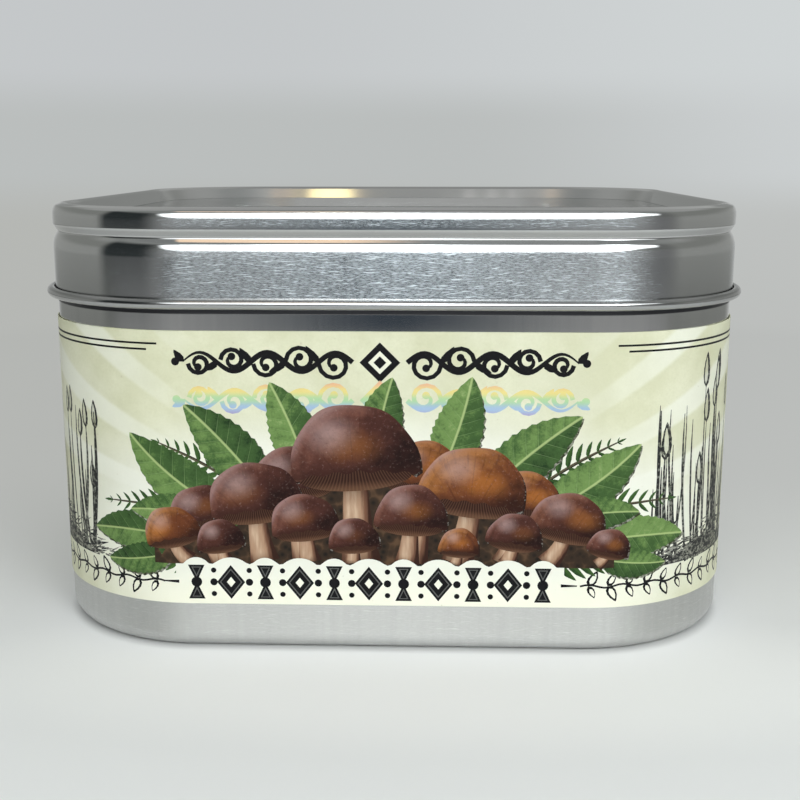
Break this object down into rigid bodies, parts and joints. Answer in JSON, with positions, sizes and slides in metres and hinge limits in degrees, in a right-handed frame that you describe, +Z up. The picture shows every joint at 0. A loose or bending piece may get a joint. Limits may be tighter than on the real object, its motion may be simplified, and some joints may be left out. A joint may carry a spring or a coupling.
{
  "type": "square tinplate tin with clear-window lid",
  "caption": "Square storage tin with round corners, a slip-on lid with a clear window, and a paper label round it, for dried food.",
  "frame": {"origin": "middle of the base, on the surface that the tin stands on", "axes": "+Z up from the base through the lid, the tin's front towards -Y, its width along X"},
  "size_m": [0.1016, 0.1016, 0.061],
  "materials": {
    "tinplate_body": "satin bare tinplate, drawn",
    "tinplate_lid": "bare tinplate, finely scratched along its length",
    "clear_plastic": "clear, polished sheet",
    "printed_paper": "cream paper with a printed, satin face"
  },
  "bodies": {
    "root": {"tin_body": "tinplate_body", "lid_frame": "tinplate_lid", "window_pane": "clear_plastic", "paper_label": "printed_paper"}
  },
  "joints": []
}
